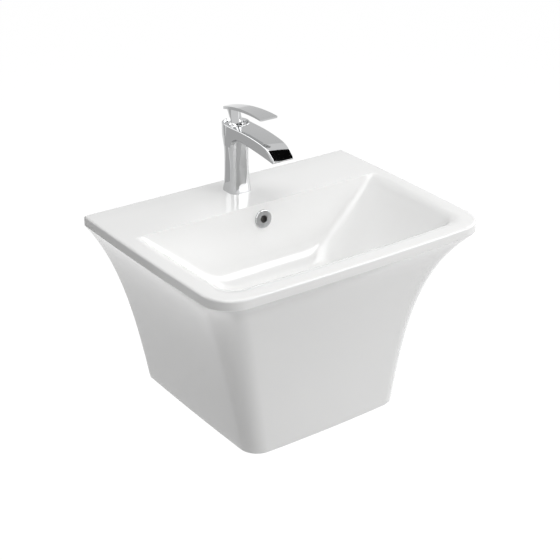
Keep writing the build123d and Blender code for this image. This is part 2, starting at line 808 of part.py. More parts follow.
# Spindle and handle lift about the pivot pin.
lean = radians(half_travel)
lean_plane = Plane(origin=pivot, x_dir=(1, 0, 0), z_dir=(0, -sin(lean), cos(lean)))
with BuildPart() as spindle:
    with BuildSketch(lean_plane.offset(-ball_arm)):
        Circle(spindle_neck / 2)
    extrude(amount=2 * ball_arm)
    with BuildSketch(lean_plane.offset(-ball_arm / 2 + 0.5)):
        Circle(spindle_square / 2)
    extrude(amount=ball_arm)
    with BuildSketch(lean_plane.offset(ball_arm / 2)):
        RectangleRounded(spindle_square, spindle_square, 0.8)
    extrude(amount=spindle_top - ball_arm / 2)
    with Locations(lean_plane.offset(-ball_arm).location):
        Sphere(ball_diameter / 2)
    with BuildSketch(cross.offset(-spindle_square)):
        Circle(pin_diameter / 2 + pin_play)
    extrude(amount=2 * spindle_square, mode=Mode.SUBTRACT)
spindle.part.label = "spindle"
export_step(spindle.part, "parts/spindle.step")

with BuildPart() as blade:
    with BuildSketch(Plane.YZ):
        back_top = tap_point(handle_back_reach, handle_back_top)
        back_low = tap_point(handle_back_reach, handle_back_top - handle_back_thickness)
        tip_top = tap_point(handle_tip_reach, handle_tip_top)
        tip_low = tap_point(handle_tip_reach, handle_tip_top - handle_tip_thickness)
        with BuildLine():
            ThreePointArc(back_top, tap_point(handle_crown_reach, handle_crown_top), tip_top)
            Line(tip_top, tip_low)
            ThreePointArc(tip_low, tap_point(handle_crown_reach, handle_crown_top - handle_crown_thickness),
                          back_low)
            Line(back_low, back_top)
        make_face()
    extrude(amount=handle_tip_width, both=True)
    with BuildSketch(above(handle_back_top - 20)) as blade_plan:
        with BuildLine():
            Polyline((-handle_back_width / 2, -tap_setback - handle_back_reach),
                     (handle_back_width / 2, -tap_setback - handle_back_reach),
                     (handle_tip_width / 2, -tap_setback - handle_tip_reach),
                     (-handle_tip_width / 2, -tap_setback - handle_tip_reach), close=True)
        make_face()
        fillet(blade_plan.vertices().sort_by(Axis.Y)[:2], 2.5)
        fillet(blade_plan.vertices().sort_by(Axis.Y)[-2:], 5)
    extrude(amount=50, mode=Mode.INTERSECT)

# the neck stops just inside the blade, whose underside trims it
with BuildPart() as above_blade:
    with BuildSketch(Plane.YZ):
        bury = 1.0
        with BuildLine():
            under = ThreePointArc(tap_point(handle_tip_reach, handle_tip_top - handle_tip_thickness + bury),
                                  tap_point(handle_crown_reach, handle_crown_top - handle_crown_thickness + bury),
                                  tap_point(handle_back_reach, handle_back_top - handle_back_thickness + bury))
            Polyline(under @ 1, tap_point(handle_back_reach, handle_crown_top + 30),
                     tap_point(handle_tip_reach, handle_crown_top + 30), under @ 0)
        make_face()
    extrude(amount=handle_tip_width, both=True)

foot_plane = Plane(origin=lean_plane.offset(dome_radius - foot_sink).origin, x_dir=(0, cos(lean), sin(lean)),
                   z_dir=(0, -sin(lean), cos(lean)))
screw_plane = Plane(origin=lean_plane.offset(screw_height).origin, x_dir=(1, 0, 0),
                    z_dir=(0, cos(lean), sin(lean)))
with BuildPart() as neck:
    with BuildSketch(foot_plane):
        Circle(foot_diameter / 2)
    with BuildSketch(above(shoulder_height)):
        with Locations((0, -tap_setback - shoulder_reach)):
            Ellipse(shoulder_width / 2, shoulder_length / 2)
    loft()
    with BuildSketch(above(shoulder_height)):
        with Locations((0, -tap_setback - shoulder_reach)):
            Ellipse(shoulder_width / 2, shoulder_length / 2)
    extrude(amount=10)
    add(above_blade.part, mode=Mode.SUBTRACT)

with BuildPart() as handle:
    add(neck.part)
    add(blade.part)
    with Locations(pivot):
        Sphere(dome_radius + running_gap, mode=Mode.SUBTRACT)
    with BuildSketch(lean_plane.offset(dome_radius - foot_sink)):
        Rectangle(spindle_square + 2 * socket_play, spindle_square + 2 * socket_play)
    extrude(amount=spindle_top + 1 - dome_radius + foot_sink, mode=Mode.SUBTRACT)
    with BuildSketch(screw_plane):
        Circle(screw_diameter / 2)
    extrude(amount=plug_recess, mode=Mode.SUBTRACT)
    with BuildSketch(screw_plane.offset(spindle_square / 2 + screw_length + 0.5)):
        Circle(plug_diameter / 2)
    extrude(amount=plug_recess - spindle_square / 2 - screw_length - 0.5, mode=Mode.SUBTRACT)
handle.part.label = "handle"
export_step(handle.part, "parts/handle.step")

with BuildPart() as handle_screw:
    with BuildSketch(screw_plane.offset(spindle_square / 2 + 0.05)):
        Circle(screw_diameter / 2 - thread_gap)
    extrude(amount=screw_length)
    with BuildSketch(screw_plane.offset(spindle_square / 2 + 0.05 + screw_length)):
        RegularPolygon(1.25, 6, major_radius=False)
    extrude(amount=-screw_length / 2, mode=Mode.SUBTRACT)
handle_screw.part.label = "handle_screw"
export_step(handle_screw.part, "parts/handle_screw.step")

with BuildPart() as index_plug:
    with BuildSketch(screw_plane.offset(spindle_square / 2 + screw_length + 0.6)):
        Circle(plug_diameter / 2 - thread_gap)
    extrude(amount=plug_length)
    fillet(index_plug.edges().sort_by(Axis.Y)[-1:], 0.6)
index_plug.part.label = "index_plug"
export_step(index_plug.part, "parts/index_plug.step")

# Aerator
aerator_bottom = aerator_top - aerator_height
with BuildPart() as aerator_housing:
    with BuildSketch(above(aerator_bottom)):
        with Locations((0, aerator_y)):
            Circle(aerator_diameter / 2)
            Circle(aerator_diameter / 2 - aerator_wall, mode=Mode.SUBTRACT)
    extrude(amount=aerator_height)
    chamfer(aerator_housing.edges().group_by(Axis.Z)[0], 0.5)
aerator_housing.part.label = "aerator_housing"
export_step(aerator_housing.part, "parts/aerator_housing.step")

with BuildPart() as aerator_insert:
    with BuildSketch(above(aerator_bottom + 1)):
        with Locations((0, aerator_y)):
            Circle(aerator_diameter / 2 - aerator_wall)
            with HexLocations(insert_pitch / 2, 5, 5):
                RegularPolygon(insert_hole / 2, 6, mode=Mode.SUBTRACT)
    extrude(amount=insert_height)
aerator_insert.part.label = "aerator_insert"
export_step(aerator_insert.part, "parts/aerator_insert.step")

with BuildPart() as aerator_seal:
    with BuildSketch(above(aerator_top)):
        with Locations((0, aerator_y)):
            Circle(aerator_diameter / 2)
            Circle(aerator_diameter / 2 - aerator_wall - 1, mode=Mode.SUBTRACT)
    extrude(amount=aerator_seal_thickness)
aerator_seal.part.label = "aerator_seal"
export_step(aerator_seal.part, "parts/aerator_seal.step")


# Waste. Rings about its axis are drawn as radii and depths, then turned.
def turned(points):
    with BuildPart() as body:
        with BuildSketch(Plane.XZ.offset(waste_setback)):
            with BuildLine():
                Polyline(*[(radius, rim_z - depth) for radius, depth in points], close=True)
            make_face()
        revolve(axis=Axis((0, -waste_setback, 0), (0, 0, 1)))
    return body.part


seat_level = floor_level + flange_thickness
tail_top = boss_level + lower_seal_thickness + waste_washer_thickness + waste_nut_height
tail_start = tail_top + relief_height
tail_end = tail_start + tail_length
with BuildPart() as waste_body:
    add(turned([(flange_mouth / 2, floor_level), (flange_diameter / 2, floor_level),
                (flange_diameter / 2, seat_level), (shank_diameter / 2, seat_level),
                (shank_diameter / 2, tail_top), (relief_diameter / 2, tail_top),
                (relief_diameter / 2, tail_start), (tail_diameter / 2, tail_start),
                (tail_diameter / 2, tail_end), (tail_bore / 2, tail_end),
                (tail_bore / 2, floor_level + throat_depth)]))
    # overflow windows in the sides of the tube, inside the boss
    with BuildSketch(Plane.XZ.offset(waste_setback - shank_diameter)):
        with Locations((0, rim_z - floor_level - slot_drop - slot_height / 2)):
            RectangleRounded(slot_width, slot_height, 3)
    extrude(amount=2 * shank_diameter, mode=Mode.SUBTRACT)
    # spider that carries the push mechanism
    with BuildSketch(level(floor_level + spider_drop)):
        with Locations((0, -waste_setback)):
            Circle(hub_diameter / 2)
            with PolarLocations(tail_bore / 4, 3):
                Rectangle(tail_bore / 2 + 1, spider_bar)
            Circle(hub_thread / 2, mode=Mode.SUBTRACT)
    extrude(amount=-spider_height)
waste_body.part.label = "waste_body"
export_step(waste_body.part, "parts/waste_body.step")

with BuildPart() as waste_top_seal:
    add(turned([(waste_hole / 2 + 0.5, seat_level), (flange_diameter / 2 - 1, seat_level),
                (flange_diameter / 2 - 1, seat_level + top_seal_thickness),
                (waste_hole / 2 + 0.5, seat_level + top_seal_thickness)]))
waste_top_seal.part.label = "waste_top_seal"
export_step(waste_top_seal.part, "parts/waste_top_seal.step")

with BuildPart() as waste_lower_seal:
    washer_level = boss_level + lower_seal_thickness
    add(turned([(shank_diameter / 2 + 0.1, boss_level), (waste_hole / 2 + 8, boss_level),
                (waste_hole / 2 + 6, washer_level), (shank_diameter / 2 + 0.1, washer_level)]))
waste_lower_seal.part.label = "waste_lower_seal"
export_step(waste_lower_seal.part, "parts/waste_lower_seal.step")

with BuildPart() as waste_washer:
    back_level = washer_level + waste_washer_thickness
    add(turned([(shank_diameter / 2 + 0.1, washer_level), (waste_hole / 2 + 6, washer_level),
                (waste_hole / 2 + 6, back_level), (shank_diameter / 2 + 0.1, back_level)]))
waste_washer.part.label = "waste_washer"
export_step(waste_washer.part, "parts/waste_washer.step")

with BuildPart() as waste_nut:
    with BuildSketch(level(back_level)):
        with Locations((0, -waste_setback)):
            RegularPolygon(waste_nut_flats / 2, 6, major_radius=False)
            Circle(shank_diameter / 2 + thread_gap, mode=Mode.SUBTRACT)
    extrude(amount=-waste_nut_height)
waste_nut.part.label = "waste_nut"
export_step(waste_nut.part, "parts/waste_nut.step")

# Push mechanism: sleeve on the spider, sprung stem, and the cap it carries.
click_level = floor_level + click_top
hub_level = floor_level + spider_drop
bore_end = hub_level - click_floor
with BuildPart() as click_housing:
    add(turned([(stem_diameter / 2 + 0.15, click_level), (click_diameter / 2, click_level),
                (click_diameter / 2, hub_level), (hub_thread / 2 - thread_gap, hub_level),
                (hub_thread / 2 - thread_gap, hub_level + spider_height + 2), (0, hub_level + spider_height + 2),
                (0, bore_end), (click_bore / 2, bore_end), (click_bore / 2, click_level + click_lip),
                (stem_diameter / 2 + 0.15, click_level + click_lip)]))
click_housing.part.label = "click_housing"
export_step(click_housing.part, "parts/click_housing.step")

piston_level = floor_level + piston_drop
cap_level = floor_level - cap_gap
with BuildPart() as click_stem:
    add(turned([(0, cap_level - 1), (stem_diameter / 2, cap_level - 1), (stem_diameter / 2, piston_level),
                (piston_diameter / 2, piston_level), (piston_diameter / 2, piston_level + piston_height),
                (0, piston_level + piston_height)]))
click_stem.part.label = "click_stem"
export_step(click_stem.part, "parts/click_stem.step")

spring_length = bore_end - piston_level - piston_height - spring_wire - 0.2
spring_radius = (click_bore - spring_wire) / 2 - 0.3
spring_foot = (0, -waste_setback, rim_z - bore_end + spring_wire / 2 + 0.1)
with BuildPart() as click_spring:
    with BuildLine() as coil:
        Helix(pitch=spring_length / spring_turns, height=spring_length, radius=spring_radius,
              center=spring_foot)
    with BuildSketch(Plane(origin=coil.line @ 0, z_dir=coil.line % 0)):
        RegularPolygon(spring_wire / 2, 6)
    sweep()
click_spring.part.label = "click_spring"
export_step(click_spring.part, "parts/click_spring.step")

with BuildPart() as plug_cap:
    with BuildSketch(Plane.XZ.offset(waste_setback)):
        with BuildLine():
            TangentArc((0, rim_z - cap_level + cap_edge + cap_crown),
                       (cap_diameter / 2, rim_z - cap_level + cap_edge), tangent=(1, 0))
            Polyline((0, rim_z - cap_level + cap_edge + cap_crown), (0, rim_z - cap_level + 1),
                     (stem_diameter / 2, rim_z - cap_level + 1), (stem_diameter / 2, rim_z - cap_level - 4),
                     (cap_boss / 2, rim_z - cap_level - 4), (cap_boss / 2, rim_z - cap_level),
                     (cap_diameter / 2, rim_z - cap_level), (cap_diameter / 2, rim_z - cap_level + cap_edge))
        make_face()
    revolve(axis=Axis((0, -waste_setback, 0), (0, 0, 1)))
plug_cap.part.label = "plug_cap"
export_step(plug_cap.part, "parts/plug_cap.step")

with BuildPart() as plug_gasket:
    add(turned([(gasket_diameter / 2 - gasket_width, cap_level), (gasket_diameter / 2, cap_level),
                (gasket_diameter / 2, cap_level + gasket_height),
                (gasket_diameter / 2 - gasket_width, cap_level + gasket_height)]))
plug_gasket.part.label = "plug_gasket"
export_step(plug_gasket.part, "parts/plug_gasket.step")
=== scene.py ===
import json
from math import atan2, cos, exp, pi, radians, sin, sqrt, tan

import bmesh
import bpy
from bpy.props import FloatProperty, FloatVectorProperty, IntProperty, PointerProperty
from bpy.types import Operator, Panel, PropertyGroup
from mathutils import Matrix, Vector


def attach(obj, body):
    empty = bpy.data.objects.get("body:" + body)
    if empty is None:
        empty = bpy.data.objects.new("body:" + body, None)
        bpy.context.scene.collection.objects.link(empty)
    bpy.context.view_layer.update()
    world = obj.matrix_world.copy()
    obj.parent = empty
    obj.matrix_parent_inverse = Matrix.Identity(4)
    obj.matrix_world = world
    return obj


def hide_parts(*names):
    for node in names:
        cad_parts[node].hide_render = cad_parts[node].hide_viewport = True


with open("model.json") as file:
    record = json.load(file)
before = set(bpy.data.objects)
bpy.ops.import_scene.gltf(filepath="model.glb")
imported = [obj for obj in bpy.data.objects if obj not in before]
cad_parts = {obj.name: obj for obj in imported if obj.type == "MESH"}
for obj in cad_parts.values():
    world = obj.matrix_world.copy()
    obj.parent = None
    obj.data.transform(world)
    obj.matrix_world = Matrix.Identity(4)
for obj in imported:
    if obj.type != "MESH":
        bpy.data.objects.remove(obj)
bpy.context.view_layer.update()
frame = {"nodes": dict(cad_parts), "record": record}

bl_info = {
    "name": "Wall-hung basin",
    "version": (1, 0, 0),
    "blender": (4, 5, 0),
    "location": "View3D > Sidebar > Basin",
    "description": "Builds a wall-hung ceramic basin with its mixer tap and push-open waste",
    "category": "Object",
}

MM = 0.001
OBJECT_SPACE = 3  # output of the Texture Coordinate node
BACKGROUND_RAYS = (0, 3, 6)  # outputs of the Light Path node: camera, glossy and transmission rays
BASIN_MIDDLE = (0, -0.2, 0.0)  # the lamps' aim
TAP_MIDDLE = (0, -0.12, 0.2)  # the cards' aim


def millimetres(value, name, description, **limits):
    return FloatProperty(name=name, description=description, default=value * MM,
                         unit="LENGTH", subtype="DISTANCE", precision=4, **limits)


def colour(value, name, description):
    return FloatVectorProperty(name=name, description=description, default=value,
                               subtype="COLOR", size=3, min=0.0, max=1.0)


class BasinSizes(PropertyGroup):
    rim_width: millimetres(520, "Rim width", "Width of the basin at its rim")
    rim_reach: millimetres(392, "Rim reach", "How far the rim stands out from the wall")
    height: millimetres(335, "Height", "From the foot of the shroud to the rim")
    foot_width: millimetres(314, "Foot width", "Width of the shroud at its foot")
    foot_reach: millimetres(312.5, "Foot reach", "How far the foot stands out from the wall")
    rim_height: millimetres(90, "Rim height", "Height of the rim above the wall bolts")
    land: millimetres(20, "Land", "Width of the flat rim round the bowl")
    deck: millimetres(122, "Deck", "Depth of the shelf behind the bowl")
    bowl_depth: millimetres(122, "Bowl depth", "Depth of the bowl's level floor below the rim")
    wall: millimetres(12, "Wall", "Thickness of the casting")
    sides: IntProperty(name="Side steps", description="Steps along each side of a level", default=20, min=4)


class TapSizes(PropertyGroup):
    setback: millimetres(50, "Setback", "From the wall to the axis of the column")
    waste_setback: millimetres(219, "Waste setback", "From the wall to the axis of the waste")


class Finishes(PropertyGroup):
    glaze: colour((0.83, 0.83, 0.825), "Glaze", "Colour of the glazed ceramic")
    clay: colour((0.62, 0.60, 0.56), "Clay", "Colour of the unglazed ceramic inside")
    chrome: colour((0.54, 0.545, 0.55), "Chrome", "Colour of the polished metal")
    steel: colour((0.50, 0.50, 0.51), "Steel", "Colour of the satin steel")
    brass: colour((0.60, 0.44, 0.20), "Brass", "Colour of the turned brass")
    rubber: colour((0.018, 0.018, 0.019), "Rubber", "Colour of the black seals")


class StageSettings(PropertyGroup):
    lens: FloatProperty(name="Lens", description="Focal length for a 36 mm frame", default=77.84)
    turn: FloatProperty(name="Turn", description="Angle of view round the basin", default=radians(-35.31),
                        subtype="ANGLE")
    tilt: FloatProperty(name="Tilt", description="Angle of view above the rim", default=radians(26.67),
                        subtype="ANGLE")
    place: FloatVectorProperty(name="Camera", description="Where the camera stands", size=3,
                               default=(-1.0250, -1.6215, 0.8623), subtype="TRANSLATION", unit="LENGTH")
    floor: millimetres(-760, "Floor", "Height of the floor")
    key: FloatProperty(name="Key light", description="Power of the main light", default=31.0, min=0)
    fill: FloatProperty(name="Fill", description="Strength of the light from all round", default=0.0, min=0)


# Finishes

class Value:
    """A number that varies over a surface, or a colour, as the nodes that work it out."""

    def __init__(self, tree, socket):
        self.tree = tree
        self.socket = socket

    def combined(self, operation, first, second):
        node = self.tree.nodes.new("ShaderNodeMath")
        node.operation = operation
        for slot, value in zip(node.inputs, (first, second)):
            if isinstance(value, Value):
                self.tree.links.new(value.socket, slot)
            else:
                slot.default_value = value
        return Value(self.tree, node.outputs[0])

    def __add__(self, other):
        return self.combined("ADD", self, other)

    def __radd__(self, other):
        return self.combined("ADD", other, self)

    def __sub__(self, other):
        return self.combined("SUBTRACT", self, other)

    def __rsub__(self, other):
        return self.combined("SUBTRACT", other, self)

    def __mul__(self, other):
        return self.combined("MULTIPLY", self, other)

    def __rmul__(self, other):
        return self.combined("MULTIPLY", other, self)


class Finish:
    """The nodes that make a new material, or a world where one is handed over."""

    def __init__(self, name, world=None):
        self.owner = world or bpy.data.materials.new(name)
        self.owner.use_nodes = True
        self.tree = self.owner.node_tree
        self.tree.nodes.clear()

    def node(self, kind, settings=None, output=0, **inputs):
        node = self.tree.nodes.new("ShaderNode" + kind)
        for key, value in (settings or {}).items():
            if key == "stops":
                ramp = node.color_ramp
                while len(ramp.elements) < len(value):
                    ramp.elements.new(0.5)
                for stop, (place, shade) in zip(ramp.elements, value):
                    stop.position = place
                    stop.color = (shade, shade, shade, 1) if isinstance(shade, float) else (*shade, 1)
            else:
                setattr(node, key, value)
        for key, value in inputs.items():
            slot = self.slot(node, key)
            if isinstance(value, Value):
                self.tree.links.new(value.socket, slot)
            elif hasattr(slot.default_value, "__len__") and len(slot.default_value) == 4:
                slot.default_value = (*value, 1)[:4]
            else:
                slot.default_value = value
        return Value(self.tree, node.outputs[output])

    def slot(self, node, key):
        """A node's input, by its name with underscores or, where names repeat, by its number."""
        if key[-1].isdigit() and key[:-1] == "in":
            return node.inputs[int(key[-1])]
        return node.inputs[key.replace("_", " ").strip()]

    def noise(self, scale, detail=2.0, roughness=0.5, stretch=None):
        place = self.node("TexCoord", output=OBJECT_SPACE)
        if stretch:
            place = self.node("Mapping", Vector=place, Scale=stretch)
        return self.node("TexNoise", Vector=place, Scale=scale, Detail=detail, Roughness=roughness)

    def blend(self, share, first, second):
        return self.node("Mix", {"data_type": "RGBA"}, output=2, in0=share, in6=first, in7=second)

    def ramp(self, share, stops):
        return self.node("ValToRGB", {"stops": stops}, Fac=share)

    def bump(self, height, strength, distance):
        return self.node("Bump", Height=height, Strength=strength, Distance=distance)

    def background_share(self, most):
        """How far a ray sees plain white: nothing for the rays that light the object."""
        rays = [self.node("LightPath", output=output) for output in BACKGROUND_RAYS]
        total = rays[0] + rays[1] + rays[2]
        return total.combined("MINIMUM", total, most)

    def ending(self, shader, kind="Material"):
        output = self.tree.nodes.new("ShaderNodeOutput" + kind)
        self.tree.links.new(shader.socket, output.inputs["Surface"])
        return self.owner

    def surface(self, **inputs):
        return self.ending(self.node("BsdfPrincipled", **inputs))


made = {}


def glazed(tint):
    """White glaze: deep gloss over a body whose colour and level drift a little."""
    paint = Finish("white glaze")
    drift = paint.noise(5.0, 3.0)
    tone = paint.blend(drift, tuple(c * 0.985 for c in tint), tuple(min(c * 1.012, 1) for c in tint))
    speck = paint.ramp(paint.noise(900.0, 1.0), [(0.78, 0.0), (0.84, 1.0)])
    tone = paint.blend(speck * 0.05, tone, (0.55, 0.52, 0.47))
    level = paint.noise(9.0, 1.5) + paint.noise(140.0, 1.0) * 0.05
    return paint.surface(Base_Color=tone, Roughness=0.10 + paint.noise(22.0, 4.0) * 0.07, IOR=1.5,
                         Coat_Weight=0.35, Coat_Roughness=0.04,
                         Normal=paint.bump(level, 0.10, 0.002))


def bare(tint):
    """Unglazed ceramic: matt, pitted, with thin glaze washed over parts of it."""
    paint = Finish("bare clay")
    wash = paint.ramp(paint.noise(14.0, 5.0, 0.6), [(0.42, 0.0), (0.58, 1.0)])
    tone = paint.blend(wash, tint, (0.76, 0.75, 0.73))
    grain = paint.noise(420.0, 4.0, 0.7)
    tone = paint.blend(grain * 0.35, tone, tuple(c * 0.8 for c in tint))
    return paint.surface(Base_Color=tone, Roughness=0.85 - wash * 0.45,
                         Normal=paint.bump(grain, 0.35, 0.0006))


def polished(tint, name="polished chrome"):
    """Mirror plating with faint wipe marks and the slight waves of buffed metal."""
    paint = Finish(name)
    wipe = paint.noise(35.0, 5.0, 0.65, (1.0, 1.0, 0.35))
    smear = paint.ramp(wipe, [(0.45, 0.0), (0.75, 1.0)])
    tone = paint.blend(smear * 0.25, tint, tuple(c * 0.94 for c in tint))
    wave = paint.noise(60.0, 1.0)
    return paint.surface(Base_Color=tone, Metallic=1.0, Roughness=0.045 + smear * 0.05,
                         Normal=paint.bump(wave, 0.04, 0.0006))


def satin(tint, name, scratch=700.0, rough=0.28):
    """Turned or brushed metal: fine lines one way and a dull sheen."""
    paint = Finish(name)
    lines = paint.noise(scratch, 3.0, 0.6, (1.0, 1.0, 0.06))
    age = paint.noise(45.0, 4.0)
    tone = paint.blend(age * 0.4, tint, tuple(c * 0.78 for c in tint))
    return paint.surface(Base_Color=tone, Metallic=1.0, Roughness=rough + lines * 0.16,
                         Normal=paint.bump(lines, 0.22, 0.0002))


def moulded(tint, name, rough=0.45, grain_scale=1500.0):
    """Moulded plastic: even colour with a fine spark texture."""
    paint = Finish(name)
    grain = paint.noise(grain_scale, 2.0)
    cloud = paint.noise(60.0, 2.0)
    tone = paint.blend(cloud * 0.3, tint, tuple(c * 0.93 for c in tint))
    return paint.surface(Base_Color=tone, Roughness=rough + grain * 0.12,
                         Normal=paint.bump(grain, 0.15, 0.00015))


def elastic(tint, name, rough=0.72):
    """Rubber: matt, with a dusty bloom in places."""
    paint = Finish(name)
    bloom = paint.noise(90.0, 5.0, 0.7)
    tone = paint.blend(bloom * 0.3, tint, tuple(c * 0.8 + 0.06 for c in tint))
    grain = paint.noise(1800.0, 2.0)
    return paint.surface(Base_Color=tone, Roughness=rough + bloom * 0.15,
                         Normal=paint.bump(grain, 0.2, 0.0001))


def lapped(tint):
    """Technical ceramic, lapped nearly to a mirror."""
    paint = Finish("lapped ceramic")
    cloud = paint.noise(80.0, 3.0)
    tone = paint.blend(cloud, tint, tuple(c * 0.95 for c in tint))
    return paint.surface(Base_Color=tone, Roughness=0.16 + cloud * 0.08, IOR=1.7,
                         Normal=paint.bump(paint.noise(900.0, 2.0), 0.05, 0.0001))


# Shapes

def shade(mesh, crease):
    """Shades a bmesh smooth, but for the edges that turn more than the crease."""
    for edge in mesh.edges:
        edge.smooth = len(edge.link_faces) == 2 and edge.calc_face_angle(0.0) < crease
    for face in mesh.faces:
        face.smooth = True


def linked(name, mesh, finishes):
    """Makes an object of a bmesh and puts it in the scene."""
    data = bpy.data.meshes.new(name)
    mesh.to_mesh(data)
    mesh.free()
    for finish in finishes:
        data.materials.append(finish)
    piece = bpy.data.objects.new(name, data)
    bpy.context.scene.collection.objects.link(piece)
    return piece


def new_piece(name, mesh, finishes, body):
    piece = linked(name, mesh, finishes)
    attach(piece, body)
    return piece


def modified(piece, **settings):
    """Applies one modifier and leaves its result as the piece's mesh."""
    kind = settings.pop("kind")
    modifier = piece.modifiers.new(kind.title(), kind)
    for key, value in settings.items():
        setattr(modifier, key, value)
    graph = bpy.context.evaluated_depsgraph_get()
    graph.update()
    data = bpy.data.meshes.new_from_object(piece.evaluated_get(graph), depsgraph=graph)
    piece.modifiers.clear()
    piece.data = data


def body_of(node):
    for body, nodes in frame["record"]["behaviour"]["bodies"].items():
        if node in nodes:
            return body
    raise RuntimeError(f"{node} is in no body")


def merged(node):
    """A node's mesh as a bmesh whose triangles share their corners."""
    mesh = bmesh.new()
    mesh.from_mesh(frame["nodes"][node].data)
    bmesh.ops.remove_doubles(mesh, verts=mesh.verts, dist=2e-6)
    return mesh


def refined(node, finish, crease=28.0):
    """Stands a smoothly shaded copy in a node's place."""
    mesh = merged(node)
    shade(mesh, radians(crease))
    piece = new_piece(node + "_piece", mesh, [finish], body_of(node))
    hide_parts(node)


# Basin. The levels' formulas are in millimetres, and the mesh is scaled at the end.

class Casting:
    """The shapes of the basin's levels, outside and in the bowl."""

    lip = 16.0
    side_taper = 0.138
    side_flare = 108.0
    front_flare = 85.0
    side_lean = radians(48)
    front_lean = radians(33)
    back_lean = radians(8)
    lip_round = 28.0
    deck_round = 6.0
    floor_round = 40.0
    foot_edge = 3.0
    rim_edge = 3.5
    back_corner = 4.0
    # Each pair is a size at the rim and the same size at the foot, or on the bowl's floor.
    front_corners = (51.0, 34.0)
    toe_ins = (10.0, 7.5)
    bows = (5.0, 4.0)
    bowl_back_corners = (9.0, 24.0)
    bowl_front_corners = (31.0, 34.0)
    bowl_toe_in = 10.0
    bowl_bow = 5.0
    # Depths that the bowl's shoulder, wall and floor round take up, one below the other.
    shoulder_run = 10.0
    wall_run = 78.0
    floor_run = 34.0
    # Radii and depths below the rim of the waste's seat and hole.
    waste_hole = ((37.5, 122.5), (35.5, 124.2), (33.8, 125.6), (33.0, 126.0), (33.0, 130.5),
                  (22.5, 130.5), (22.5, 166.0))
    # Points along each corner, and levels of each part of the skin.
    back_steps = 8
    front_steps = 12
    foot_levels = 4
    flare_levels = 54
    flare_crowding = 1.35
    rim_levels = 6

    def __init__(self, sizes):
        self.width = sizes.rim_width / MM
        self.reach = sizes.rim_reach / MM
        self.height = sizes.height / MM
        self.foot_width = sizes.foot_width / MM
        self.foot_reach = sizes.foot_reach / MM
        self.rim = sizes.rim_height / MM
        self.land = sizes.land / MM
        self.deck = sizes.deck / MM
        self.depth = sizes.bowl_depth / MM
        self.wall = round(sizes.wall / MM, 3)
        self.steps = sizes.sides

    def flare(self, depth, length):
        top = exp(-self.lip / length)
        end = exp(-self.height / length)
        return (exp(-max(depth, self.lip) / length) - end) / (top - end)

    def shroud_width(self, depth):
        taper = 2 * self.side_taper * (self.height - self.lip)
        share = (self.height - max(depth, self.lip)) / (self.height - self.lip)
        swell = self.width - self.foot_width - taper
        return self.foot_width + taper * share + swell * self.flare(depth, self.side_flare)

    def shroud_reach(self, depth):
        return self.foot_reach + (self.reach - self.foot_reach) * self.flare(depth, self.front_flare)

    def fade(self, depth, at_rim, at_foot):
        share = max(depth - self.lip, 0) / (self.height - self.lip)
        return at_rim + (at_foot - at_rim) * share

    def outline(self, half, back, front, rounds, toe_in, bow):
        """Points of one level, clockwise from above, starting at the middle of the back."""
        corner = front + bow
        length = back - corner
        steps = self.steps
        small, large = rounds
        points = [((half - small) * i / steps, back) for i in range(steps)]
        centre = (half - small, back - small)
        for i in range(self.back_steps + 1):
            turn = radians(90 - 90 * i / self.back_steps)
            points.append((centre[0] + small * cos(turn), centre[1] + small * sin(turn)))
        end = Vector((half - toe_in, corner))
        along = Vector((-2 * toe_in, -length)).normalized()
        across = Vector((-1, -2 * bow / (half - toe_in))).normalized()
        opening = (-along).angle(across)
        trim = large / tan(opening / 2)
        first, last = small / length, 1 - trim / length
        for i in range(1, steps):
            share = first + (last - first) * i / steps
            points.append((half - toe_in * share ** 2, back - length * share))
        start = end - along * trim
        middle = end + (across - along).normalized() * (large / sin(opening / 2))
        begin = atan2(start.y - middle.y, start.x - middle.x)
        sweep = pi - opening
        for i in range(self.front_steps + 1):
            turn = begin - sweep * i / self.front_steps
            points.append((middle.x + large * cos(turn), middle.y + large * sin(turn)))
        stop = (end + across * trim).x
        for i in range(1, steps + 1):
            x = stop * (1 - i / steps)
            points.append((x, front + bow * (x / (half - toe_in)) ** 2))
        return points + [(-x, y) for x, y in reversed(points[1:-1])]

    def shroud(self, depth, wall=0.0, back=0.0, inset=0.0):
        half = self.shroud_width(depth) / 2 - wall - inset
        large = self.fade(depth, *self.front_corners) - wall - inset
        small = max(self.back_corner - inset, 0.5)
        return self.outline(half, back - inset, wall + inset - self.shroud_reach(depth), (small, large),
                            self.fade(depth, *self.toe_ins), self.fade(depth, *self.bows))

    def floor_start(self, lean, top_round):
        hub = self.depth - self.floor_round
        run = (hub + self.floor_round * sin(lean) - top_round * (1 - cos(lean))) * tan(lean)
        return top_round * sin(lean) + run + self.floor_round * cos(lean)

    def inset(self, depth, lean, top_round, outside=0.0):
        hub = self.depth - self.floor_round
        if depth > hub + (self.floor_round + outside) * sin(lean):
            rise = sqrt(max((self.floor_round + outside) ** 2 - (depth - hub) ** 2, 0.0))
            return self.floor_start(lean, top_round) - rise
        small = top_round - outside
        if small > 0 and depth < top_round - small * cos(lean):
            return sqrt(max(small ** 2 - (top_round - depth) ** 2, 0.0))
        down = depth - top_round * (1 - cos(lean))
        return top_round * sin(lean) + down * tan(lean) - outside / cos(lean)

    def bowl_back(self, depth, outside=0.0):
        return -self.deck - self.inset(depth, self.back_lean, self.deck_round, outside)

    def bowl(self, depth, outside=0.0):
        side = self.inset(depth, self.side_lean, self.lip_round, outside)
        front = self.inset(depth, self.front_lean, self.lip_round, outside)
        fade = max(1 - depth / self.depth, 0.02)
        small, large = (floor + (rim + outside - floor) * fade
                        for rim, floor in (self.bowl_back_corners, self.bowl_front_corners))
        return self.outline(self.width / 2 - self.land - side, self.bowl_back(depth, outside),
                            self.land + front - self.reach, (small, large),
                            self.bowl_toe_in * fade, self.bowl_bow * fade)

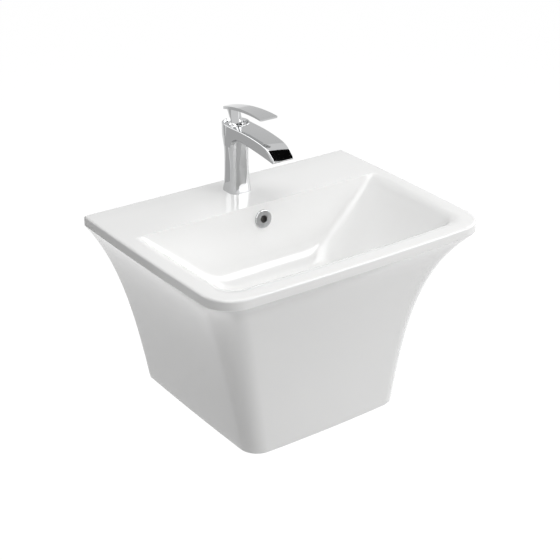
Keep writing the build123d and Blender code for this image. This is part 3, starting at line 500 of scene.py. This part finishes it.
    def circle(self, radius, centre, like):
        """As many points as another level has, on a circle and facing the same ways."""
        points = []
        for x, y in like:
            turn = atan2(y - centre, x)
            points.append((radius * cos(turn), centre + radius * sin(turn)))
        return points

    def outer_levels(self):
        """The shroud, from its foot up to the edge of the rim."""
        levels = []
        for i in range(self.foot_levels + 1):
            turn = radians(90 * i / self.foot_levels)
            levels.append((self.shroud(self.height, inset=self.foot_edge * (1 - sin(turn))),
                           self.rim - self.height + self.foot_edge * (1 - cos(turn))))
        for i in range(1, self.flare_levels):
            share = (1 - i / self.flare_levels) ** self.flare_crowding
            depth = self.lip + (self.height - self.foot_edge - self.lip) * share
            levels.append((self.shroud(depth), self.rim - depth))
        levels.append((self.shroud(self.lip), self.rim - self.lip))
        for i in range(self.rim_levels + 1):
            turn = radians(90 * i / self.rim_levels)
            levels.append((self.shroud(0, inset=self.rim_edge * (1 - cos(turn))),
                           self.rim - self.rim_edge * (1 - sin(turn))))
        return levels

    def bowl_levels(self, centre):
        """The flat rim, the bowl down to its floor, and the waste's seat and hole."""
        outer, inner = self.shroud(0, inset=self.rim_edge), self.bowl(0)
        levels = [(between(outer, inner, share), self.rim) for share in (0.3, 0.6, 0.85)]
        depths = [self.shoulder_run * (i / 14) ** 2 for i in range(15)]
        depths += [self.shoulder_run + self.wall_run * i / 26 for i in range(1, 27)]
        depths += [self.depth - self.floor_run * (1 - i / 16) ** 2 for i in range(1, 17)]
        levels += [(self.bowl(depth), self.rim - depth) for depth in depths]
        last = self.bowl(self.depth)
        for share, radius in ((0.5, 60.0), (1.0, 39.0)):
            levels.append((between(last, self.circle(radius, centre, last), share), self.rim - self.depth))
        for radius, depth in self.waste_hole:
            levels.append((self.circle(radius, centre, last), self.rim - depth))
        return levels


def between(first, last, share):
    """The points a share of the way from one outline to another."""
    return [(a[0] + (b[0] - a[0]) * share, a[1] + (b[1] - a[1]) * share) for a, b in zip(first, last)]


def stacked(levels):
    """Closes a stack of outlines, each a list of points and a height, into one skin."""
    mesh = bmesh.new()
    points, height = levels[0]
    start = bmesh.ops.create_circle(mesh, cap_ends=False, segments=len(points), radius=1.0)["verts"]
    for vert, (x, y) in zip(start, points):
        vert.co = (x, y, height)
    ring = start
    edges = list({e for v in ring for e in v.link_edges})
    bmesh.ops.contextual_create(mesh, geom=edges)
    for points, height in levels[1:]:
        order = {v: i for i, v in enumerate(ring)}
        grown = bmesh.ops.extrude_edge_only(mesh, edges=edges)["geom"]
        fresh = [v for v in grown if isinstance(v, bmesh.types.BMVert)]
        edges = [e for e in grown if isinstance(e, bmesh.types.BMEdge)]
        ranked = {}
        for vert in fresh:
            for edge in vert.link_edges:
                other = edge.other_vert(vert)
                if other in order:
                    ranked[order[other]] = vert
        ring = [ranked[i] for i in range(len(points))]
        for vert, (x, y) in zip(ring, points):
            vert.co = (x, y, height)
    bmesh.ops.contextual_create(mesh, geom=edges)
    bmesh.ops.recalc_face_normals(mesh, faces=mesh.faces)
    return mesh


def cutter(mesh, finish):
    """A helper that another piece is cut with."""
    bmesh.ops.scale(mesh, vec=(MM, MM, MM), verts=mesh.verts)
    return linked("cutter", mesh, [finish])


def cut(piece, tool, operation="DIFFERENCE"):
    """Cuts a piece with a helper, or joins the helper to it, and removes the helper."""
    modified(piece, kind="BOOLEAN", object=tool, operation=operation, solver="EXACT",
             material_mode="TRANSFER")
    bpy.data.objects.remove(tool)


def drum(radius, low, high, x=0.0, y=0.0, segments=96):
    mesh = bmesh.new()
    bmesh.ops.create_cone(mesh, cap_ends=True, segments=segments, radius1=radius, radius2=radius,
                          depth=high - low)
    bmesh.ops.translate(mesh, verts=mesh.verts, vec=(x, y, (low + high) / 2))
    return mesh


def laid(mesh, degrees, place):
    """Turns a helper about X and sets it down at its place."""
    turn = Matrix.Rotation(radians(degrees), 3, "X")
    bmesh.ops.rotate(mesh, cent=(0, 0, 0), matrix=turn, verts=mesh.verts)
    bmesh.ops.translate(mesh, vec=place, verts=mesh.verts)
    return mesh


def block(low, high, corner=0.0, upright=True):
    """A box between two corners, its edges along Z or along Y rounded."""
    mesh = bmesh.new()
    bmesh.ops.create_cube(mesh, size=1.0)
    size = [b - a for a, b in zip(low, high)]
    middle = [(a + b) / 2 for a, b in zip(low, high)]
    bmesh.ops.scale(mesh, vec=size, verts=mesh.verts)
    bmesh.ops.translate(mesh, vec=middle, verts=mesh.verts)
    if corner:
        axis = 2 if upright else 1
        edges = [e for e in mesh.edges
                 if abs((e.verts[0].co - e.verts[1].co)[axis]) > 0.9 * size[axis]]
        bmesh.ops.bevel(mesh, geom=edges, offset=corner, offset_type="OFFSET", affect="EDGES", segments=8,
                        profile=0.5, material=-1)
    return mesh


class BASIN_OT_casting(Operator):
    """Builds the glazed basin with its shroud, bowl, waste hole and hollow back"""
    bl_idname = "basin.casting"
    bl_label = "Basin"

    tap_radius = 17.5
    bolt_radius = 8.0
    bolt_side = 140.0
    overflow_radius = 12.0
    overflow_depth = 26.0
    boss_radius = 38.0
    hollow_depth = 34.0
    hollow_back = -14.0
    shell_depths = (13, 16, 20, 27, 34, 42, 52, 64, 76, 88, 98, 108, 116, 122, 127, 131, 134)
    duct_near, duct_far, duct_side = 2.0, 31.0, 29.0
    duct_depths = (9, 20, 40, 60, 76)

    def duct(self, form, waste_y):
        """The clay left round the overflow's way, from the bowl's back down to the waste."""
        line = [(form.bowl_back(depth), form.rim - depth, form.back_lean) for depth in self.duct_depths]
        hub_y, hub_z = form.bowl_back(form.depth), form.rim - form.depth + form.floor_round
        for i in range(1, 9):
            turn = form.back_lean + (-pi / 2 - form.back_lean) * i / 8
            line.append((hub_y + form.floor_round * cos(turn), hub_z + form.floor_round * sin(turn), turn))
        line.append((waste_y, hub_z - form.floor_round, -pi / 2))
        duct = bmesh.new()
        corners = [[duct.verts.new((-self.duct_side, y + off * cos(turn), z + off * sin(turn)))
                    for off in (self.duct_near, self.duct_far)] for y, z, turn in line]
        for (a, b), (c, d) in zip(corners, corners[1:]):
            duct.faces.new((a, b, d, c))
        grown = bmesh.ops.extrude_face_region(duct, geom=list(duct.faces))["geom"]
        bmesh.ops.translate(duct, vec=(2 * self.duct_side, 0, 0),
                            verts=[v for v in grown if isinstance(v, bmesh.types.BMVert)])
        bmesh.ops.recalc_face_normals(duct, faces=duct.faces)
        return duct

    def hollow(self, form, waste_y):
        """The space behind the glazed walls, open at the back, as one helper to cut with."""
        rim, clay = form.rim, made["clay"]
        run = form.height + 6 - self.hollow_depth
        depths = [self.hollow_depth + run * i / 26 for i in range(27)]
        levels = [(form.shroud(depth, wall=form.wall, back=self.hollow_back), rim - depth)
                  for depth in depths]
        hollow = cutter(stacked(levels), clay)
        under_deck = block((-225, -152, rim - 44), (225, self.hollow_back, rim - 14), 10)
        cut(hollow, cutter(under_deck, clay), "UNION")
        shell = [(form.bowl(depth, form.wall), rim - depth) for depth in self.shell_depths]
        cut(hollow, cutter(stacked(shell), clay))
        cut(hollow, cutter(drum(self.boss_radius, rim - 164.5, rim - 110, 0, waste_y), clay))
        cut(hollow, cutter(self.duct(form, waste_y), clay))
        back_opening = block((-115, -18, rim - 420), (115, 6, rim - 165), 24, upright=False)
        cut(hollow, cutter(back_opening, clay), "UNION")
        return hollow

    def execute(self, context):
        form = Casting(context.scene.basin_sizes)
        waste_y = -context.scene.basin_tap.waste_setback / MM
        tap_y = -context.scene.basin_tap.setback / MM
        skin = stacked(form.outer_levels() + form.bowl_levels(waste_y))
        bmesh.ops.scale(skin, vec=(MM, MM, MM), verts=skin.verts)
        piece = new_piece("basin_casting", skin, [made["glaze"], made["clay"]], "fixture")

        cut(piece, self.hollow(form, waste_y))
        mouth = (0, form.bowl_back(self.overflow_depth), form.rim - self.overflow_depth)
        holes = [drum(self.tap_radius, form.rim - 16, form.rim + 1, 0, tap_y)]
        holes += [laid(drum(self.bolt_radius, -16, 1), -90, (x, 0, 0))
                  for x in (-self.bolt_side, self.bolt_side)]
        holes += [laid(drum(self.overflow_radius, -18, 9), 90, mouth)]
        for hole in holes:
            cut(piece, cutter(hole, made["clay"]))

        shaded = bmesh.new()
        shaded.from_mesh(piece.data)
        shade(shaded, radians(32))
        shaded.to_mesh(piece.data)
        shaded.free()
        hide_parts("basin")
        return {"FINISHED"}


class BASIN_OT_tap(Operator):
    """Builds the tap's body, handle and the round pieces between them"""
    bl_idname = "basin.tap"
    bl_label = "Tap"

    def execute(self, context):
        chrome = made["chrome"]
        refined("tap_body", chrome, 32)
        refined("handle", chrome, 32)
        refined("dome", chrome)
        refined("cartridge_nut", chrome)
        refined("aerator_housing", chrome)
        return {"FINISHED"}


class BASIN_OT_waste(Operator):
    """Builds the waste, its plug and the ring of the overflow"""
    bl_idname = "basin.waste"
    bl_label = "Waste and overflow"

    def execute(self, context):
        chrome = made["chrome"]
        refined("overflow_ring", chrome)
        refined("plug_cap", chrome)
        refined("waste_body", chrome)
        refined("waste_nut", chrome)
        return {"FINISHED"}


class BASIN_OT_inner(Operator):
    """Gives the fixings, the cartridge and the seals their finishes"""
    bl_idname = "basin.inner"
    bl_label = "Inner pieces"

    def execute(self, context):
        wanted = {
            "tap_base_seal": "rubber", "hot_bush": "brass", "cold_bush": "brass",
            "fixing_stud": "steel", "clamp_rubber": "rubber", "clamp_plate": "steel",
            "fixing_nut": "brass", "cartridge_base": "white",
            "port_seal": "silicone", "fixed_disc": "disc", "cartridge_housing": "white",
            "aerator_insert": "grey", "aerator_seal": "rubber", "rotor": "white", "pivot_pin": "steel",
            "moving_disc": "disc", "disc_carrier": "white", "spindle": "brass", "handle_screw": "steel",
            "index_plug": "index", "waste_top_seal": "silicone", "waste_lower_seal": "rubber",
            "waste_washer": "grey", "click_housing": "brass", "click_spring": "steel",
            "click_stem": "steel", "plug_gasket": "rubber",
        }
        for node, finish in wanted.items():
            refined(node, made[finish])
        return {"FINISHED"}


class BASIN_OT_finishes(Operator):
    """Mixes the finishes of all the pieces"""
    bl_idname = "basin.finishes"
    bl_label = "Finishes"

    def execute(self, context):
        tints = context.scene.basin_finishes
        made["glaze"] = glazed(tuple(tints.glaze))
        made["clay"] = bare(tuple(tints.clay))
        made["chrome"] = polished(tuple(tints.chrome))
        made["steel"] = satin(tuple(tints.steel), "satin steel")
        made["brass"] = satin(tuple(tints.brass), "turned brass", 500.0, 0.22)
        made["rubber"] = elastic(tuple(tints.rubber), "black rubber")
        made["silicone"] = elastic((0.62, 0.62, 0.60), "clear silicone", 0.4)
        made["white"] = moulded((0.70, 0.70, 0.68), "white plastic")
        made["grey"] = moulded((0.26, 0.265, 0.27), "grey plastic")
        made["index"] = moulded((0.20, 0.21, 0.23), "index plug", 0.2)
        made["disc"] = lapped((0.75, 0.74, 0.70))
        return {"FINISHED"}


def facing(place, target):
    """The placing of a lamp or card that looks from its place at a target."""
    aim = Vector(target) - Vector(place)
    return Matrix.Translation(place) @ aim.to_track_quat("-Z", "Y").to_matrix().to_4x4()


def sheet(name, size, height, finish):
    """A flat piece of the stage."""
    mesh = bmesh.new()
    bmesh.ops.create_grid(mesh, x_segments=1, y_segments=1, size=0.5)
    bmesh.ops.scale(mesh, vec=(*size, 1.0), verts=mesh.verts)
    bmesh.ops.translate(mesh, vec=(0, 0, height), verts=mesh.verts)
    return linked(name, mesh, [finish])


class BASIN_OT_stage(Operator):
    """Sets the floor, the lights, the reflecting cards and the camera"""
    bl_idname = "basin.stage"
    bl_label = "Stage"

    floor_size = (12.0, 12.0)
    floor_white = 0.92  # the rest of what the camera sees of the floor is its shaded colour
    floor_glow = 1.08

    def card(self, name, place, size, level):
        """Stands a card beside the tap that only mirrors see, as a studio flag does."""
        paint = Finish(name)
        glow = paint.node("Emission", Color=(level, level, level), Strength=1.0)
        board = sheet(name, size, 0.0, paint.ending(glow))
        board.matrix_world = facing(place, TAP_MIDDLE)
        board.visible_camera = False
        board.visible_diffuse = False
        board.visible_shadow = False

    def lamp(self, scene, name, place, width, power):
        light = bpy.data.lights.new(name, "AREA")
        light.shape = "RECTANGLE"
        light.size = light.size_y = width
        light.energy = power
        lamp = bpy.data.objects.new(name, light)
        lamp.matrix_world = facing(place, BASIN_MIDDLE)
        scene.collection.objects.link(lamp)

    def execute(self, context):
        scene = context.scene
        stage = scene.basin_stage
        scene.view_settings.view_transform = "Standard"

        paint = Finish("pale floor")
        shader = paint.node("BsdfDiffuse", Color=(0.86, 0.86, 0.86))
        glow = paint.node("Emission", Color=(1, 1, 1), Strength=self.floor_glow)
        mixed = paint.node("MixShader", in0=paint.background_share(self.floor_white), in1=shader, in2=glow)
        floor = sheet("floor", self.floor_size, stage.floor, paint.ending(mixed))

        scene.world = bpy.data.worlds.new("studio")
        sky = Finish("studio", scene.world)
        strength = stage.fill + sky.background_share(1.0) * (1.0 - stage.fill)
        sky.ending(sky.node("Background", Color=(1, 1, 1), Strength=strength), "World")

        for name, place, width, share in (
                ("key", (1.4, -1.9, 1.2), 1.4, 1.0),
                ("ceiling", (0, -0.3, 2.2), 2.0, 1.05),
                ("right_wall", (2.2, -0.3, 0.9), 1.5, 0.47),
                ("camera_side", (-1.4, -1.6, 1.3), 1.2, 0.39),
                ("left_back", (-1.3, 1.3, 1.4), 1.2, 0.26),
                ("front", (0.0, -2.5, 0.2), 1.5, 0.13),
        ):
            self.lamp(scene, name, place, width, stage.key * share)

        for name, place, size, level in (
                ("dark_card", (0.64, -0.45, 1.20), (0.75, 0.95), 0.004),
                ("grey_card", (0.80, 1.00, 0.85), (1.7, 1.0), 0.80),
                ("low_card", (-0.75, 0.95, -0.35), (0.5, 1.0), 0.62),
        ):
            self.card(name, place, size, level)

        lens = bpy.data.cameras.new("camera")
        lens.sensor_width = 36.0
        lens.lens = stage.lens
        camera = bpy.data.objects.new("camera", lens)
        turn, tilt = stage.turn, stage.tilt
        back = Vector((sin(turn) * cos(tilt), -cos(turn) * cos(tilt), sin(tilt)))
        right = Vector((cos(turn), sin(turn), 0))
        up = back.cross(right)
        axes = Matrix((right, up, back)).transposed()
        camera.matrix_world = Matrix.Translation(stage.place) @ axes.to_4x4()
        scene.collection.objects.link(camera)
        scene.camera = camera
        return {"FINISHED"}


class BASIN_PT_builder(Panel):
    bl_label = "Wall-hung basin"
    bl_idname = "BASIN_PT_builder"
    bl_space_type = "VIEW_3D"
    bl_region_type = "UI"
    bl_category = "Basin"

    def draw(self, context):
        for group in ("basin_sizes", "basin_tap", "basin_finishes", "basin_stage"):
            settings = getattr(context.scene, group)
            column = self.layout.column(align=True)
            for name in settings.__annotations__:
                column.prop(settings, name)
        for step in steps:
            self.layout.operator(step.bl_idname)


steps = (BASIN_OT_finishes, BASIN_OT_casting, BASIN_OT_tap, BASIN_OT_waste, BASIN_OT_inner, BASIN_OT_stage)
groups = {"basin_sizes": BasinSizes, "basin_tap": TapSizes, "basin_finishes": Finishes,
          "basin_stage": StageSettings}


def register():
    for kind in (*groups.values(), *steps, BASIN_PT_builder):
        bpy.utils.register_class(kind)
    for name, kind in groups.items():
        setattr(bpy.types.Scene, name, PointerProperty(type=kind))


def unregister():
    for name in groups:
        delattr(bpy.types.Scene, name)
    for kind in (BASIN_PT_builder, *reversed(steps), *groups.values()):
        bpy.utils.unregister_class(kind)


def main():
    register()
    for step in steps:
        family, name = step.bl_idname.split(".")
        getattr(getattr(bpy.ops, family), name)()


if __name__ == "__main__":
    main()
